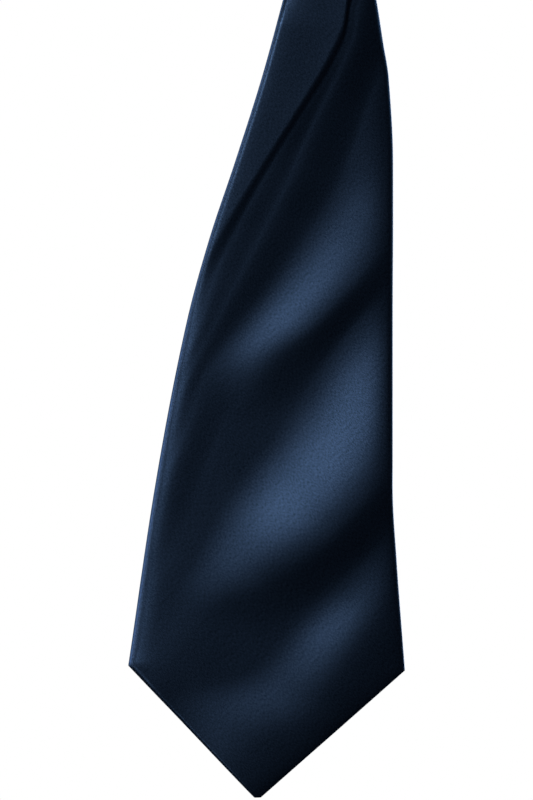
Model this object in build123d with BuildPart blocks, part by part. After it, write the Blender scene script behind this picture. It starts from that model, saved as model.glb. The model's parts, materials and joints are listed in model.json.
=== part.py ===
from build123d import *
from math import atan2, cos, degrees, radians, sin
import os

# A satin necktie, tied in a four-in-hand knot and hanging from its neck loop.
#
# The frame: +Z up, +X to the right of someone who faces the tie, -Y forwards.
# The origin is the middle of the loop that goes round the neck.
# All sizes are in millimetres and all angles in degrees.

os.makedirs("parts", exist_ok=True)

# --- driving dimensions -----------------------------------------------------

GAP = 0.4                    # between two bodies that move past each other

# the loop round the neck
LOOP_HALF_WIDTH = 60.0       # from the middle of the loop to the middle of the band
LOOP_HALF_DEPTH = 68.0
LOOP_TILT = 20.0             # the loop is higher at the nape than at the throat
BAND_HEIGHT = 34.0
BAND_THICKNESS = 3.6
BAND_WALL = 0.8
STRAND_ANGLE = 45.0          # from the front, where the band turns in to the knot
PIECING_ANGLE = 118.0        # from the front, where the cloth panels are joined

# the knot
KNOT_TOP = -34.0
KNOT_BOTTOM = -76.0
KNOT_Y = -80.0
KNOT_TOP_SIZE = (46.0, 26.0)
KNOT_BOTTOM_SIZE = (38.0, 22.0)
KNOT_CORNER = 6.0
WRAP_CLOTH = 1.2
WRAP_LINING = 0.8

# the front blade: its outline as (depth below the knot, X), top to bottom
BLADE_LEFT_EDGE = [(8.8, -16.0), (57, -30.5), (109, -46.5), (161, -56.5), (220, -65.5)]
BLADE_RIGHT_EDGE = [(8.8, 15.7), (57, 20.5), (109, 20.5), (161, 20.5), (220, 24.5)]
BLADE_TIP = (264, -23.4)
BLADE_FRONT = -86.8
BLADE_BACK = -82.4
BLADE_WALL = 0.8
BLADE_INSET = 1.2            # from the folded edge in to the interlining
BLADE_TOP_ROUND = 2.0
TIP_INSET_SHARE = 1.5        # a plate drawn in by 1 mm ends this much higher at the tip
TOP_INSET_SHARE = 2.5        # and this much lower at the top
TIPPING = 0.6
SEAM_GAP = 0.5
BLADE_TACK_DEPTH = 163.0     # down the blade's axis to the end of its back seam

# the throat, where the pleated blade comes out of the knot
THROAT_TOP = KNOT_BOTTOM + 8.0
THROAT_BOTTOM = KNOT_BOTTOM - 7.1
THROAT_Y = -85.4
THROAT_TOP_SIZE = (24.0, 6.4)
THROAT_BOTTOM_SIZE = (31.2, 6.0)
THROAT_WALL = 0.9
THROAT_CORNER = 2.0

# the tail, down the blade's axis
TAIL_FRONT = -80.8
TAIL_THICKNESS = 3.2
TAIL_WALL = 0.6
TAIL_TOP_DEPTH = 112.0
TAIL_TOP_HALF_WIDTH = 17.0
TAIL_HALF_WIDTH = 20.5
TAIL_TIP_DEPTH = 215.0
TAIL_RUN_SIZE = (27.0, 3.6)
TAIL_RUN_Y = -73.6

# the band across the back of the blade, which keeps the tail behind it
KEEPER_DEPTH = 100.0
KEEPER_HEIGHT = 9.0
KEEPER_HALF_WIDTH = 24.0
KEEPER_BACK = -76.2
KEEPER_CLOTH = 0.7
KEEPER_FOOT = 3.5

# sewing
STITCH = (2.0, 0.5, 0.3)     # long, wide, proud of the cloth
STITCH_PITCH = 6.0
TACK = (7.0, 1.8, 0.4)
LABEL = (18.0, 14.0, 0.3)

# --- shared places and shapes -----------------------------------------------

LEAN = degrees(atan2(-BLADE_TIP[1], BLADE_TIP[0]))
LOOP_PLANE = Plane.XY.rotated((LOOP_TILT, 0, 0))


def axis_plane(y):
    """Local X is across the blade, Y is down its leaning axis, Z is backwards."""
    across = (cos(radians(LEAN)), 0, -sin(radians(LEAN)))
    return Plane(origin=(0, y, KNOT_BOTTOM), x_dir=across, z_dir=(0, 1, 0))


def blade_plate(inset, back, front):
    """A plate with the blade's outline, drawn in all round, between two depths in Y."""
    left = [(x + inset, KNOT_BOTTOM - depth) for depth, x in BLADE_LEFT_EDGE]
    right = [(x - inset, KNOT_BOTTOM - depth) for depth, x in BLADE_RIGHT_EDGE]
    tip = (BLADE_TIP[1], KNOT_BOTTOM - BLADE_TIP[0] + TIP_INSET_SHARE * inset)
    with BuildPart() as plate:
        with BuildSketch(Plane.XZ.offset(-back)):
            with BuildLine():
                Spline(*left)
                Line(left[-1], tip)
                Line(tip, right[-1])
                Spline(*right)
                Line(right[0], left[0])
            make_face()
        extrude(amount=back - front)
        if inset:
            split(bisect_by=Plane.XY.offset(left[0][1] - TOP_INSET_SHARE * inset), keep=Keep.BOTTOM)
    return plate.part


def pointed_plate(top, top_half, half, tip, front, thickness):
    """A strip that widens down the blade's axis and ends in a square point."""
    corner = tip - half
    rim = [(-top_half, top), (-half, corner), (0, tip), (half, corner), (top_half, top)]
    with BuildPart() as plate:
        with BuildSketch(axis_plane(front)):
            with BuildLine():
                Polyline(*rim, close=True)
            make_face()
        extrude(amount=thickness)
    return plate.part


def kite_plate(top, shoulder, half, bottom, front, thickness):
    """A kite down the blade's axis: the shape that the tipping cloth shows."""
    with BuildPart() as plate:
        with BuildSketch(axis_plane(front)):
            with BuildLine():
                Polyline((0, top), (half, shoulder), (0, bottom), (-half, shoulder), close=True)
            make_face()
        extrude(amount=thickness)
    return plate.part


def tapered_block(top, bottom, top_size, bottom_size, y, corner):
    """A block with rounded corners between two heights, centred on X = 0."""
    with BuildPart() as block:
        with BuildSketch(Plane.XY.offset(bottom).shift_origin((0, y, bottom))):
            RectangleRounded(*bottom_size, corner)
        with BuildSketch(Plane.XY.offset(top).shift_origin((0, y, top))):
            RectangleRounded(*top_size, corner)
        loft()
    return block.part


def smaller(size, by):
    return (size[0] - 2 * by, size[1] - 2 * by)


def band_sector(start, end, outset, inset, height):
    """Part of the neckband, between two angles from the front, seen from above."""
    reach = 4 * LOOP_HALF_DEPTH
    widest_step = 60
    steps = max(2, round((end - start) / widest_step) + 1)
    angles = [start + (end - start) * i / (steps - 1) for i in range(steps)]
    rim = [(reach * sin(radians(a)), -reach * cos(radians(a))) for a in angles]
    with BuildPart() as sector:
        with BuildSketch(LOOP_PLANE.offset(-height / 2)):
            Ellipse(LOOP_HALF_WIDTH + outset, LOOP_HALF_DEPTH + outset)
            Ellipse(LOOP_HALF_WIDTH - inset, LOOP_HALF_DEPTH - inset, mode=Mode.SUBTRACT)
        extrude(amount=height)
        with BuildSketch(LOOP_PLANE.offset(-height)):
            with BuildLine():
                Polyline((0, 0), *rim, close=True)
            make_face()
        extrude(amount=2 * height, mode=Mode.INTERSECT)
    return sector.part


def band_place(angle, outset, up):
    """A plane on the neckband: local X runs round it, Y up it and Z away from it."""
    turn = radians(angle)
    across = LOOP_HALF_WIDTH + outset
    along = LOOP_HALF_DEPTH + outset
    spot = LOOP_PLANE.from_local_coords((across * sin(turn), -along * cos(turn), up))
    middle = LOOP_PLANE.from_local_coords((0, 0, 0))
    tangent = LOOP_PLANE.from_local_coords((across * cos(turn), along * sin(turn), 0)) - middle
    outward = LOOP_PLANE.from_local_coords((along * sin(turn), -across * cos(turn), 0)) - middle
    return Plane(origin=spot, x_dir=tangent, z_dir=outward)


# --- neck loop --------------------------------------------------------------

HALF_BAND = BAND_THICKNESS / 2
HALF_FILL = HALF_BAND - BAND_WALL
FILL_HEIGHT = BAND_HEIGHT - 2 * BAND_WALL
BAND_ENDS = {
    "neckband_blade_side": (360 - PIECING_ANGLE, 360 - STRAND_ANGLE),
    "neckband_gusset": (PIECING_ANGLE, 360 - PIECING_ANGLE),
    "neckband_tail_side": (STRAND_ANGLE, PIECING_ANGLE),
}
fill_ring = band_sector(STRAND_ANGLE, 360 - STRAND_ANGLE, HALF_FILL, HALF_FILL, FILL_HEIGHT)

for node, (start, end) in BAND_ENDS.items():
    cloth = band_sector(start, end, HALF_BAND, HALF_BAND, BAND_HEIGHT)
    with BuildPart() as neckband:
        add(cloth)
        add(fill_ring, mode=Mode.SUBTRACT)
    neckband.part.label = node
    export_step(neckband.part, f"parts/{node}.step")

with BuildPart() as neckband_interlining:
    add(fill_ring)
neckband_interlining.part.label = "neckband_interlining"
export_step(neckband_interlining.part, "parts/neckband_interlining.step")

# the two seams across the band that join the panels: small stitches on the bias
SEAM_ROWS = 7
SEAM_RISE = 4.2
SEAM_SLANT = 2.6
SEAM_CLEAR = 0.03
with BuildPart() as piecing_seams:
    for side in (-1, 1):
        for row in range(SEAM_ROWS):
            level = row - (SEAM_ROWS - 1) / 2
            spot = band_place(side * PIECING_ANGLE + SEAM_SLANT * level, HALF_BAND, SEAM_RISE * level)
            with Locations(spot.offset(STITCH[2] / 2 + SEAM_CLEAR)):
                Box(STITCH[0], STITCH[1], STITCH[2])
piecing_seams.part.label = "piecing_seams"
export_step(piecing_seams.part, "parts/piecing_seams.step")

# the slip stitch that closes the band, on its inner side
BAND_STITCH_STEP = 9
BAND_STITCH_START = int(STRAND_ANGLE) + 6
with BuildPart() as neckband_slip_stitch:
    for angle in range(BAND_STITCH_START, 361 - BAND_STITCH_START, BAND_STITCH_STEP):
        spot = band_place(angle, -HALF_BAND, 0)
        with Locations(spot.offset(-STITCH[2] / 2 - SEAM_CLEAR)):
            Box(STITCH[0], STITCH[1], STITCH[2])
neckband_slip_stitch.part.label = "neckband_slip_stitch"
export_step(neckband_slip_stitch.part, "parts/neckband_slip_stitch.step")

# the two strands that run from the band to the top of the knot
STRAND_END = (4.0, -76.0, -20.5)
STRAND_END_SIZE = (20.0, 3.0)
STRAND_START_SIZE = (BAND_HEIGHT - 1, BAND_THICKNESS - GAP)
for node, side in (("blade_side_strand", -1), ("tail_side_strand", 1)):
    first = band_place(side * (STRAND_ANGLE - 1), 0, 0)
    last = Vector(side * STRAND_END[0], STRAND_END[1], STRAND_END[2])
    run = (last - first.origin).normalized()
    across = run.cross(Vector(0, 0, 1)).normalized()
    with BuildPart() as strand:
        with BuildSketch(Plane(origin=first.origin, x_dir=first.y_dir, z_dir=first.x_dir * -side)):
            Rectangle(*STRAND_START_SIZE)
        with BuildSketch(Plane(origin=last, x_dir=across.cross(run) * -1, z_dir=run)):
            Rectangle(*STRAND_END_SIZE)
        loft(ruled=True)
    strand.part.label = node
    export_step(strand.part, f"parts/{node}.step")

# --- knot -------------------------------------------------------------------

wrap_sizes = [KNOT_TOP_SIZE, KNOT_BOTTOM_SIZE]
wrap_outside = tapered_block(KNOT_TOP, KNOT_BOTTOM, *wrap_sizes, KNOT_Y, KNOT_CORNER)
wrap_middle = tapered_block(
    KNOT_TOP, KNOT_BOTTOM, *[smaller(s, WRAP_CLOTH) for s in wrap_sizes], KNOT_Y, KNOT_CORNER - WRAP_CLOTH
)
wrap_inside = tapered_block(
    KNOT_TOP,
    KNOT_BOTTOM,
    *[smaller(s, WRAP_CLOTH + WRAP_LINING) for s in wrap_sizes],
    KNOT_Y,
    KNOT_CORNER - WRAP_CLOTH - WRAP_LINING,
)

with BuildPart() as knot_wrap:
    add(wrap_outside)
    add(wrap_middle, mode=Mode.SUBTRACT)
knot_wrap.part.label = "knot_wrap"
export_step(knot_wrap.part, "parts/knot_wrap.step")

with BuildPart() as knot_wrap_interlining:
    add(wrap_middle)
    add(wrap_inside, mode=Mode.SUBTRACT)
knot_wrap_interlining.part.label = "knot_wrap_interlining"
export_step(knot_wrap_interlining.part, "parts/knot_wrap_interlining.step")

# the first turn of the blade round the tail, in the middle of the knot
FIRST_TURN = (31.0, 4.4, 26.0)
FIRST_TURN_Y = -78.5
FIRST_TURN_ROUND = 1.5
with BuildPart(Plane((0, FIRST_TURN_Y, (KNOT_TOP + KNOT_BOTTOM) / 2))) as knot_first_turn:
    Box(*FIRST_TURN)
    fillet(knot_first_turn.edges().filter_by(Axis.Z), FIRST_TURN_ROUND)
knot_first_turn.part.label = "knot_first_turn"
export_step(knot_first_turn.part, "parts/knot_first_turn.step")

# the band that comes up through the loop and over the top of the knot
BRIDGE = (30.0, 6.0, 20.0)
BRIDGE_TOP = KNOT_TOP + 2
BRIDGE_ROUND = 2.5
with BuildPart(Plane((0, THROAT_Y + GAP, BRIDGE_TOP - BRIDGE[2] / 2))) as knot_bridge:
    Box(*BRIDGE)
    fillet(knot_bridge.edges().filter_by(Axis.X).group_by(Axis.Z)[-1], BRIDGE_ROUND)
knot_bridge.part.label = "knot_bridge"
export_step(knot_bridge.part, "parts/knot_bridge.step")

# the narrow end, where it runs down the back of the knot
TAIL_RUN_TOP = KNOT_TOP + 1
TAIL_RUN_LENGTH = 45.0
TAIL_RUN_ROUND = 1.2
with BuildPart(Plane((0, TAIL_RUN_Y, TAIL_RUN_TOP - TAIL_RUN_LENGTH / 2))) as tail_run:
    Box(TAIL_RUN_SIZE[0], TAIL_RUN_SIZE[1], TAIL_RUN_LENGTH)
    fillet(tail_run.edges().filter_by(Axis.Z), TAIL_RUN_ROUND)
tail_run.part.label = "tail_run"
export_step(tail_run.part, "parts/tail_run.step")

# --- throat -----------------------------------------------------------------

throat_sizes = [THROAT_TOP_SIZE, THROAT_BOTTOM_SIZE]
throat_outside = tapered_block(THROAT_TOP, THROAT_BOTTOM, *throat_sizes, THROAT_Y, THROAT_CORNER)
throat_inside = tapered_block(
    THROAT_TOP,
    THROAT_BOTTOM,
    *[smaller(s, THROAT_WALL) for s in throat_sizes],
    THROAT_Y,
    THROAT_CORNER - THROAT_WALL,
)

with BuildPart() as throat_shell:
    add(throat_outside)
    add(throat_inside, mode=Mode.SUBTRACT)
throat_shell.part.label = "throat_shell"
export_step(throat_shell.part, "parts/throat_shell.step")

with BuildPart() as throat_interlining:
    add(throat_inside)
throat_interlining.part.label = "throat_interlining"
export_step(throat_interlining.part, "parts/throat_interlining.step")

# --- front blade ------------------------------------------------------------

FILL_BACK = BLADE_BACK - BLADE_WALL - TIPPING
FILL_FRONT = BLADE_FRONT + BLADE_WALL
SEAM_END_DEPTH = BLADE_TACK_DEPTH + 6
# two kites: top, widest depth, half width, bottom
WINDOW = (BLADE_TACK_DEPTH + 2, 219.0, 33.0, 247.0)
LINING = (BLADE_TACK_DEPTH - 3, 220.0, 38.0, 255.0)
blade_outside = blade_plate(0, BLADE_BACK, BLADE_FRONT)
blade_fill = blade_plate(BLADE_INSET, FILL_BACK, FILL_FRONT)
blade_lining = kite_plate(*LINING, FILL_BACK, TIPPING)
blade_window = kite_plate(*WINDOW, FILL_BACK, 2 * BLADE_WALL + TIPPING)

with BuildPart() as blade_shell:
    add(blade_outside)
    fillet(blade_shell.edges().filter_by(Axis.X).group_by(Axis.Z)[-1], BLADE_TOP_ROUND)
    add(blade_fill, mode=Mode.SUBTRACT)
    add(blade_lining, mode=Mode.SUBTRACT)
    add(blade_window, mode=Mode.SUBTRACT)
    with BuildSketch(axis_plane(FILL_BACK)):
        with Locations((0, SEAM_END_DEPTH / 2)):
            Rectangle(SEAM_GAP, SEAM_END_DEPTH)
    extrude(amount=2 * BLADE_WALL + TIPPING, mode=Mode.SUBTRACT)
blade_shell.part.label = "blade_shell"
export_step(blade_shell.part, "parts/blade_shell.step")

with BuildPart() as blade_interlining:
    add(blade_fill)
blade_interlining.part.label = "blade_interlining"
export_step(blade_interlining.part, "parts/blade_interlining.step")

with BuildPart() as blade_tipping:
    add(blade_lining)
blade_tipping.part.label = "blade_tipping"
export_step(blade_tipping.part, "parts/blade_tipping.step")

# the slip stitch leaves room for the fibre label
SEAM_TOP_DEPTH = 16.0
LABEL_MARGIN = 1.5
LABEL_DEPTH = KEEPER_DEPTH + KEEPER_HEIGHT + 11.0
stitch_count = int((BLADE_TACK_DEPTH - SEAM_TOP_DEPTH) / STITCH_PITCH)
stitch_depths = [SEAM_TOP_DEPTH + STITCH_PITCH * i for i in range(stitch_count)]
stitch_clear = LABEL[1] / 2 + LABEL_MARGIN
open_depths = [d for d in stitch_depths if abs(d - LABEL_DEPTH) > stitch_clear]
with BuildPart(axis_plane(BLADE_BACK + STITCH[2] / 2)) as blade_slip_stitch:
    with Locations(*[(0, depth) for depth in open_depths]):
        Box(STITCH[0], STITCH[1], STITCH[2])
blade_slip_stitch.part.label = "blade_slip_stitch"
export_step(blade_slip_stitch.part, "parts/blade_slip_stitch.step")

with BuildPart(axis_plane(BLADE_BACK + TACK[2] / 2)) as blade_bar_tack:
    with Locations((0, BLADE_TACK_DEPTH)):
        Box(*TACK)
blade_bar_tack.part.label = "blade_bar_tack"
export_step(blade_bar_tack.part, "parts/blade_bar_tack.step")

with BuildPart(axis_plane(BLADE_BACK + LABEL[2] / 2)) as fibre_label:
    with Locations((0, LABEL_DEPTH)):
        Box(*LABEL)
fibre_label.part.label = "fibre_label"
export_step(fibre_label.part, "parts/fibre_label.step")

# the keeper loop: a bridge of folded cloth with a foot sewn down at each end
keeper_rise = KEEPER_BACK - BLADE_BACK
with BuildPart() as keeper_loop:
    with BuildSketch(axis_plane(BLADE_BACK)):
        with Locations((0, KEEPER_DEPTH + KEEPER_HEIGHT / 2)):
            Rectangle(2 * KEEPER_HALF_WIDTH, KEEPER_HEIGHT)
    extrude(amount=keeper_rise)
    with BuildSketch(axis_plane(BLADE_BACK)):
        with Locations((0, KEEPER_DEPTH + KEEPER_HEIGHT / 2)):
            Rectangle(2 * (KEEPER_HALF_WIDTH - KEEPER_CLOTH), KEEPER_HEIGHT)
    extrude(amount=keeper_rise - KEEPER_CLOTH, mode=Mode.SUBTRACT)
    with BuildSketch(axis_plane(BLADE_BACK)):
        foot = KEEPER_HALF_WIDTH + KEEPER_FOOT / 2 - KEEPER_CLOTH / 2
        with Locations((-foot, KEEPER_DEPTH + KEEPER_HEIGHT / 2), (foot, KEEPER_DEPTH + KEEPER_HEIGHT / 2)):
            Rectangle(KEEPER_FOOT, KEEPER_HEIGHT)
    extrude(amount=KEEPER_CLOTH)
keeper_loop.part.label = "keeper_loop"
export_step(keeper_loop.part, "parts/keeper_loop.step")

# --- tail -------------------------------------------------------------------

TAIL_FILL = TAIL_THICKNESS - 2 * TAIL_WALL
TAIL_LINING_CLOTH = 0.5
TAIL_TACK_DEPTH = TAIL_TIP_DEPTH - 48
TAIL_SHAPE = (TAIL_TOP_DEPTH, TAIL_TOP_HALF_WIDTH, TAIL_HALF_WIDTH, TAIL_TIP_DEPTH)
TAIL_END_INSET = 1.5
# two kites: top, widest depth, half width, bottom
TAIL_WINDOW = (TAIL_TACK_DEPTH + 2, TAIL_TIP_DEPTH - 20, 13.0, TAIL_TIP_DEPTH - 8)
TAIL_LINING = (TAIL_TACK_DEPTH - 2, TAIL_TIP_DEPTH - 20, 16.5, TAIL_TIP_DEPTH - 4)
tail_outside = pointed_plate(*TAIL_SHAPE, TAIL_FRONT, TAIL_THICKNESS)
tail_fill = pointed_plate(
    TAIL_TOP_DEPTH + TAIL_END_INSET,
    TAIL_TOP_HALF_WIDTH - TAIL_WALL,
    TAIL_HALF_WIDTH - TAIL_WALL,
    TAIL_TIP_DEPTH - TAIL_END_INSET,
    TAIL_FRONT + TAIL_WALL,
    TAIL_FILL - TAIL_LINING_CLOTH,
)
lining_front = TAIL_FRONT + TAIL_WALL + TAIL_FILL - TAIL_LINING_CLOTH
tail_lining = kite_plate(*TAIL_LINING, lining_front, TAIL_LINING_CLOTH)
tail_window = kite_plate(*TAIL_WINDOW, lining_front, TAIL_THICKNESS)

with BuildPart() as tail_shell:
    add(tail_outside)
    add(tail_fill, mode=Mode.SUBTRACT)
    add(tail_lining, mode=Mode.SUBTRACT)
    add(tail_window, mode=Mode.SUBTRACT)
tail_shell.part.label = "tail_shell"
export_step(tail_shell.part, "parts/tail_shell.step")

with BuildPart() as tail_interlining:
    add(tail_fill)
tail_interlining.part.label = "tail_interlining"
export_step(tail_interlining.part, "parts/tail_interlining.step")

with BuildPart() as tail_tipping:
    add(tail_lining)
tail_tipping.part.label = "tail_tipping"
export_step(tail_tipping.part, "parts/tail_tipping.step")

TAIL_BACK = TAIL_FRONT + TAIL_THICKNESS
tail_stitch_count = int((TAIL_TACK_DEPTH - TAIL_TOP_DEPTH) / STITCH_PITCH)
tail_stitch_depths = [TAIL_TACK_DEPTH - STITCH_PITCH * (i + 1) for i in range(tail_stitch_count)]
with BuildPart(axis_plane(TAIL_BACK + STITCH[2] / 2)) as tail_slip_stitch:
    with Locations(*[(0, depth) for depth in tail_stitch_depths]):
        Box(STITCH[0], STITCH[1], STITCH[2])
tail_slip_stitch.part.label = "tail_slip_stitch"
export_step(tail_slip_stitch.part, "parts/tail_slip_stitch.step")

TAIL_TACK = (5.0, 1.5, 0.3)
with BuildPart(axis_plane(TAIL_BACK + TAIL_TACK[2] / 2)) as tail_bar_tack:
    with Locations((0, TAIL_TACK_DEPTH)):
        Box(*TAIL_TACK)
tail_bar_tack.part.label = "tail_bar_tack"
export_step(tail_bar_tack.part, "parts/tail_bar_tack.step")

# the length of tail between the knot and the pointed end, which draws up into the knot
STRAND_TOP_DEPTH = 9.0
SLOPE_END_DEPTH = 60.0
SLOPE_SPREAD = 1.0
STRAND_THICKNESS = 3.0
TAIL_MIDDLE = TAIL_FRONT + TAIL_THICKNESS / 2
strand_rows = [
    (STRAND_TOP_DEPTH, TAIL_RUN_SIZE[0] / 2, TAIL_RUN_Y),
    (SLOPE_END_DEPTH, TAIL_RUN_SIZE[0] / 2 + SLOPE_SPREAD, TAIL_MIDDLE),
    (TAIL_TOP_DEPTH - GAP, TAIL_TOP_HALF_WIDTH, TAIL_MIDDLE),
]
with BuildPart() as tail_strand:
    for depth, half, y in strand_rows:
        spot = axis_plane(y).from_local_coords((0, depth, 0))
        down = axis_plane(y).y_dir
        with BuildSketch(Plane(origin=spot, x_dir=axis_plane(y).x_dir, z_dir=down)):
            Rectangle(2 * half, STRAND_THICKNESS)
    loft(ruled=True)
tail_strand.part.label = "tail_strand"
export_step(tail_strand.part, "parts/tail_strand.step")
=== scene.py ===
# %% [markdown]
# # A tied satin necktie
#
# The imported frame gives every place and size. This file adds the looks: the draped satin blade,
# the knot, the neckband, the tail behind, and all the sewing. Lengths are worked out in millimetres,
# as a tie maker would, and turned into metres when a mesh is written.

# %% Load the frame
import bpy
import json
import math
import numpy as np
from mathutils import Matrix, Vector


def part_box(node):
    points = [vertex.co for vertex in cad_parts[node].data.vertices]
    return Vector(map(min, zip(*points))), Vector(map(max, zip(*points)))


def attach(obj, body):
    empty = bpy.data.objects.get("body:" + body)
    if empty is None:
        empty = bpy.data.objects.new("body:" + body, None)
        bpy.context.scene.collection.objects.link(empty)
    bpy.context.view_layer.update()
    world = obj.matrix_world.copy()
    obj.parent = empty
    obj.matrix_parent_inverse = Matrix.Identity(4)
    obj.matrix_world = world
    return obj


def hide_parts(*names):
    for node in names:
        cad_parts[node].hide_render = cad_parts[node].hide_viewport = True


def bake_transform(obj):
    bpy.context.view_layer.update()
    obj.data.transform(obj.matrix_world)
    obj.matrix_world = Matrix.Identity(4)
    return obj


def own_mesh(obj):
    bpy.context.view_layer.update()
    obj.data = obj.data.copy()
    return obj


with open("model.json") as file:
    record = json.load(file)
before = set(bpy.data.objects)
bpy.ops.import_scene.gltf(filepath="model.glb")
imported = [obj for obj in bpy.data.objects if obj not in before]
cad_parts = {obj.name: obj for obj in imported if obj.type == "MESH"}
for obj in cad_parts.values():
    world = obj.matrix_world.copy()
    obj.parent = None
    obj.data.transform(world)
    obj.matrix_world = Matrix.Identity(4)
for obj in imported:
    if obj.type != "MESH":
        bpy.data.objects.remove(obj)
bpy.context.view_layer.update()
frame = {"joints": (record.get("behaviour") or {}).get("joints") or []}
JOINTS = {joint["name"]: joint for joint in frame["joints"]}
MM = 0.001
print("joints:", sorted(JOINTS))

# %% [markdown]
# ## Places that everything else hangs on
#
# The knot's mouth is where the blade comes out, and the sway joint turns there. The blade's own axis
# leans a little, and the tail slides along the same line.

# %% Shared places
MOUTH_Z = JOINTS["blade_sway"]["pos_m"][2] / MM
UP_AXIS = np.array(JOINTS["tail_slide"]["axis"])
BLADE_LOW, BLADE_HIGH = (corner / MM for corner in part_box("blade_shell"))
BLADE_MIDDLE_Y = (BLADE_LOW.y + BLADE_HIGH.y) / 2
TIP_DEPTH = MOUTH_Z - BLADE_LOW.z
print(f"mouth at {MOUTH_Z:.1f} mm, blade hangs {TIP_DEPTH:.1f} mm below it")

# %% [markdown]
# ## Camera and light
#
# The camera looks straight at the front of the blade from far away with a long lens, so nothing bulges.
# The view starts just under the knot and ends at the tip. A big soft light up to the left makes the
# satin shine on the slopes that face it, and leaves the other slopes nearly black. Weaker lights at the
# sides and behind pick out the rolled edges.

# %% Camera
SEEN_HEIGHT = 260.0
CAMERA_DISTANCE = 1500.0
CAMERA_X = -20.5
SENSOR = 36.0
ROOM_BELOW = 0.6
TIP_Z = MOUTH_Z - TIP_DEPTH
camera_data = bpy.data.cameras.new("camera")
camera = bpy.data.objects.new("camera", camera_data)
bpy.context.collection.objects.link(camera)
camera_data.sensor_fit = "AUTO"
camera_data.sensor_width = SENSOR
camera_data.lens = SENSOR * CAMERA_DISTANCE / SEEN_HEIGHT
camera_z = TIP_Z + SEEN_HEIGHT / 2 - ROOM_BELOW
camera.location = Vector((CAMERA_X, BLADE_MIDDLE_Y - CAMERA_DISTANCE, camera_z)) * MM
camera.rotation_euler = (math.radians(90), 0, 0)
bpy.context.scene.camera = camera
print(f"camera: {camera_data.lens:.0f} mm lens, {CAMERA_DISTANCE:.0f} mm from the blade")


# %% Lights
def soft_light(name, toward, distance, size, power, color=(1, 1, 1)):
    """A light aimed at the middle of the blade. toward is the way to it, and lengths are in metres."""
    aim = Vector((CAMERA_X, BLADE_MIDDLE_Y, (MOUTH_Z + TIP_Z) / 2)) * MM
    data = bpy.data.lights.new(name, "AREA")
    data.shape = "RECTANGLE"
    data.size, data.size_y = size
    data.energy = power
    data.color = color
    lamp = bpy.data.objects.new(name, data)
    bpy.context.collection.objects.link(lamp)
    direction = Vector(toward).normalized()
    lamp.location = aim + direction * distance
    lamp.rotation_euler = direction.to_track_quat("Z", "Y").to_euler()


soft_light("key", (-0.46, -0.80, 0.36), 1.3, (0.45, 0.45), 6.0)
soft_light("left_rim", (-1.0, -0.30, 0.10), 1.2, (0.35, 1.0), 2.8)
soft_light("left_back", (-0.92, 0.36, 0.10), 1.3, (0.9, 1.0), 7.5, (1.0, 0.93, 1.0))
soft_light("low_left", (-0.64, -0.62, -0.46), 1.4, (0.5, 0.5), 1.6)
soft_light("right_side", (0.85, 0.55, 0.30), 1.5, (0.5, 0.9), 1.4)
soft_light("back_right", (0.30, 0.95, 0.06), 1.5, (0.8, 0.9), 8.0)
soft_light("back_high", (-0.35, 0.8, 0.6), 1.6, (0.9, 0.7), 10.0)
soft_light("top", (0.15, -0.1, 1.0), 1.4, (0.8, 0.8), 3.5)
print("lights:", [lamp.name for lamp in bpy.data.lights])

# %% [markdown]
# ## Room and floor
#
# Glossy cloth mirrors what is round it. So the room that lights the satin is dim, and only the camera
# sees the white paper behind it. The pale floor is a stage, and stays out of the satin's shine.

# %% Room
ROOM_GLOW = 0.036
world = bpy.data.worlds.new("studio")
bpy.context.scene.world = world
world.use_nodes = True
sky = world.node_tree.nodes
links = world.node_tree.links
sky.clear()
room = sky.new("ShaderNodeBackground")
room.inputs["Color"].default_value = (0.9, 0.95, 1.0, 1)
room.inputs["Strength"].default_value = ROOM_GLOW
paper = sky.new("ShaderNodeBackground")
paper.inputs["Color"].default_value = (1, 1, 1, 1)
paper.inputs["Strength"].default_value = 1.0
path = sky.new("ShaderNodeLightPath")
choose = sky.new("ShaderNodeMixShader")
output = sky.new("ShaderNodeOutputWorld")
links.new(path.outputs["Is Camera Ray"], choose.inputs[0])
links.new(room.outputs[0], choose.inputs[1])
links.new(paper.outputs[0], choose.inputs[2])
links.new(choose.outputs[0], output.inputs["Surface"])
bpy.context.scene.view_settings.view_transform = "Standard"
print("room glow:", ROOM_GLOW)

# %% Floor
FLOOR_Z, FLOOR_RADIUS = -0.7, 3.2
bpy.ops.object.select_all(action="DESELECT")
bpy.ops.mesh.primitive_circle_add(
    vertices=64, radius=FLOOR_RADIUS, fill_type="NGON", location=(0, 0, FLOOR_Z)
)
floor = bpy.context.object
floor.name = "floor"
floor_paint = bpy.data.materials.new("pale_floor")
floor_paint.use_nodes = True
floor_shader = floor_paint.node_tree.nodes["Principled BSDF"]
floor_shader.inputs["Base Color"].default_value = (0.25, 0.25, 0.25, 1)
floor_shader.inputs["Roughness"].default_value = 0.8
floor_shader.inputs["Emission Color"].default_value = (0.95, 0.96, 0.97, 1)
floor_shader.inputs["Emission Strength"].default_value = 0.72
floor.data.materials.append(floor_paint)
floor.visible_glossy = False
floor.visible_diffuse = False
print(f"floor: {FLOOR_RADIUS} m round the tie, {-FLOOR_Z} m down")

# %% [markdown]
# ## Sheets from a grid
#
# Every length of cloth here is a flat grid that is carried to its place: a function says where the
# point that lies a share of the way across and down ends up. The cloth's own measure, in millimetres
# across and down, goes into the UV map, so the weave follows the folds.


# %% Sheets
def select_only(*objects):
    bpy.ops.object.select_all(action="DESELECT")
    for thing in objects:
        thing.select_set(True)
    bpy.context.view_layer.objects.active = objects[0]


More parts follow.
